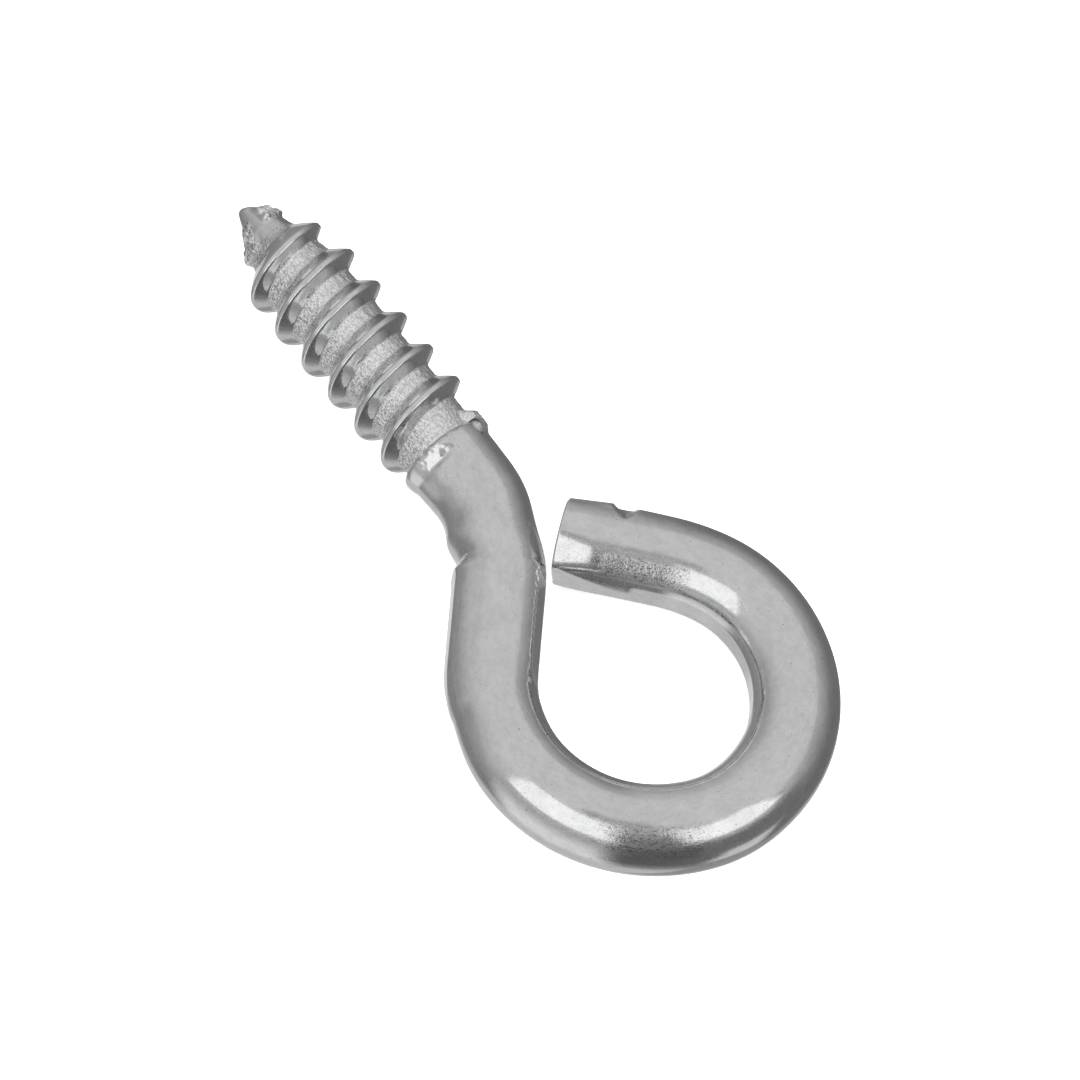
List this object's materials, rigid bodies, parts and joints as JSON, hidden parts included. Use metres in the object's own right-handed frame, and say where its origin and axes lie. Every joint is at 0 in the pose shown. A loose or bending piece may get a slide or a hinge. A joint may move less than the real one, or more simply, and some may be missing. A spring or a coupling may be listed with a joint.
{
  "type": "screw eye",
  "caption": "Closed wire eye on a right-hand wood-screw shank with a pinched point, for hanging, tying off or guiding a cord, wire, chain or hook.",
  "frame": {"origin": "under the middle of the object's box, on the plane it lies on: the lowest crest of the thread touches Z = 0", "axes": "+X along the thread towards its point; +Z along the eye's own axis, square to the plane of the eye; +Y towards the side of the leg that joins the eye to the shank"},
  "size_m": [0.073, 0.0338, 0.0095],
  "materials": {
    "zinc_plated_wire": "bright zinc plate on drawn steel wire, satin, with duller rolled thread roots"
  },
  "bodies": {
    "root": {"screw_eye": "zinc_plated_wire"}
  },
  "joints": []
}
